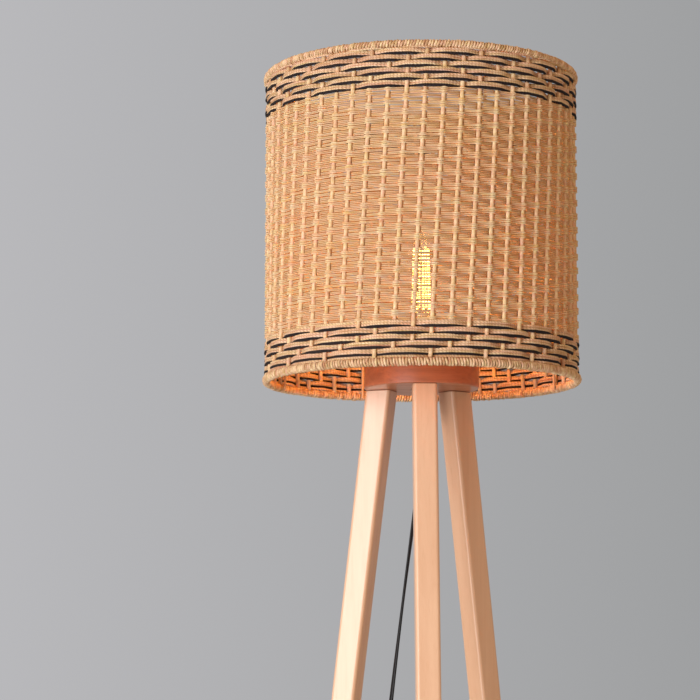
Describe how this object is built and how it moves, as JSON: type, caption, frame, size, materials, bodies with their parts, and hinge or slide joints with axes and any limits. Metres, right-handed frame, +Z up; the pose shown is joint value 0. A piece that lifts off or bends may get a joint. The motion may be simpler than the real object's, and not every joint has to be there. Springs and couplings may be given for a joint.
{
  "type": "floor lamp",
  "caption": "Tripod floor lamp with a woven drum shade, a filament bulb and a foot switch on its flex.",
  "frame": {"origin": "on the floor, under the middle of the standing lamp's box", "axes": "+Z up, -Y towards the front leg, +X to the right seen from the front"},
  "size_m": [0.355, 0.359, 1.4997],
  "materials": {
    "leg_wood": "satin lacquered beech",
    "hub_wood": "satin red-brown stained wood",
    "woven_cane": "open twill weave of natural cane strands",
    "banded_cane": "close weave of natural and black strands",
    "lashing_cane": "split cane lashing",
    "frame_wire": "cane-coloured paint on steel wire",
    "steel": "zinc-plated",
    "brass": "plain",
    "tin": "bright rolled",
    "pin_metal": "nickel-plated",
    "black_plastic": "fine matt",
    "insulator": "moulded",
    "flex": "smooth black sheath",
    "tie_strap": "woven black strap",
    "felt": "pressed felt",
    "clear_glass": "clear",
    "filament": "yellow coated filament rods"
  },
  "bodies": {
    "root": {"leg_front": "leg_wood", "leg_right": "leg_wood", "leg_left": "leg_wood", "dowel_front": "leg_wood", "dowel_right": "leg_wood", "dowel_left": "leg_wood", "leg_screw_front": "steel", "leg_screw_right": "steel", "leg_screw_left": "steel", "foot_pad_front": "felt", "foot_pad_right": "felt", "foot_pad_left": "felt", "hub_disc": "hub_wood", "nipple": "steel", "nipple_washer": "steel", "nipple_nut": "steel", "cord_gland": "black_plastic", "inner_cord": "flex", "lampholder_cup": "black_plastic", "lampholder_sleeve": "black_plastic", "lampholder_block": "insulator", "lampholder_shell": "brass", "lampholder_contact": "brass", "lower_band": "banded_cane", "woven_wall": "woven_cane", "upper_band": "banded_cane", "lower_rim_lashing": "lashing_cane", "upper_rim_lashing": "lashing_cane", "lower_frame_ring": "frame_wire", "upper_frame_ring": "frame_wire", "frame_upright_1": "frame_wire", "frame_upright_2": "frame_wire", "frame_upright_3": "frame_wire", "frame_upright_4": "frame_wire", "shade_carrier": "frame_wire", "cord_drop": "flex", "switch_base": "black_plastic", "switch_cover": "black_plastic", "switch_contact_block": "insulator", "switch_screw_1": "steel", "switch_screw_2": "steel", "switch_relief_in": "black_plastic", "switch_relief_out": "black_plastic", "cord_lead": "flex", "cord_coil": "flex", "coil_tie": "tie_strap", "cord_tail": "flex", "plug_body": "black_plastic", "plug_pin_1": "pin_metal", "plug_pin_2": "pin_metal"},
    "button": {"switch_button": "black_plastic", "switch_plunger": "insulator"},
    "bulb_foot": {"bulb_tip": "tin", "bulb_insulator": "insulator"},
    "bulb": {"bulb_glass": "clear_glass", "bulb_cap": "tin", "bulb_stem": "clear_glass", "bulb_filaments": "filament"},
    "clamp": {"shade_clamp_ring": "black_plastic"}
  },
  "joints": [
    {"name": "button_press", "type": "slide", "parent": "root", "child": "button", "axis": [0, 0, -1], "range_m": [0, 0.004], "stiffness_N_per_m": 400, "springref_m": -0.002},
    {"name": "bulb_rise", "type": "slide", "parent": "root", "child": "bulb_foot", "axis": [0, 0, 1], "range_m": [0, 0.01452]},
    {"name": "bulb_turn", "type": "hinge", "parent": "bulb_foot", "child": "bulb", "pos_m": [0, 0.01986, 1.25], "axis": [0, 0, 1], "range_deg": [0, 1440]},
    {"name": "clamp_turn", "type": "hinge", "parent": "root", "child": "clamp", "pos_m": [0, 0.01986, 1.23], "axis": [0, 0, 1], "range_deg": [0, 720]}
  ],
  "couplings": [
    {"joint": "bulb_rise", "follows": "bulb_turn", "m_per_rad": 0.00057757}
  ]
}
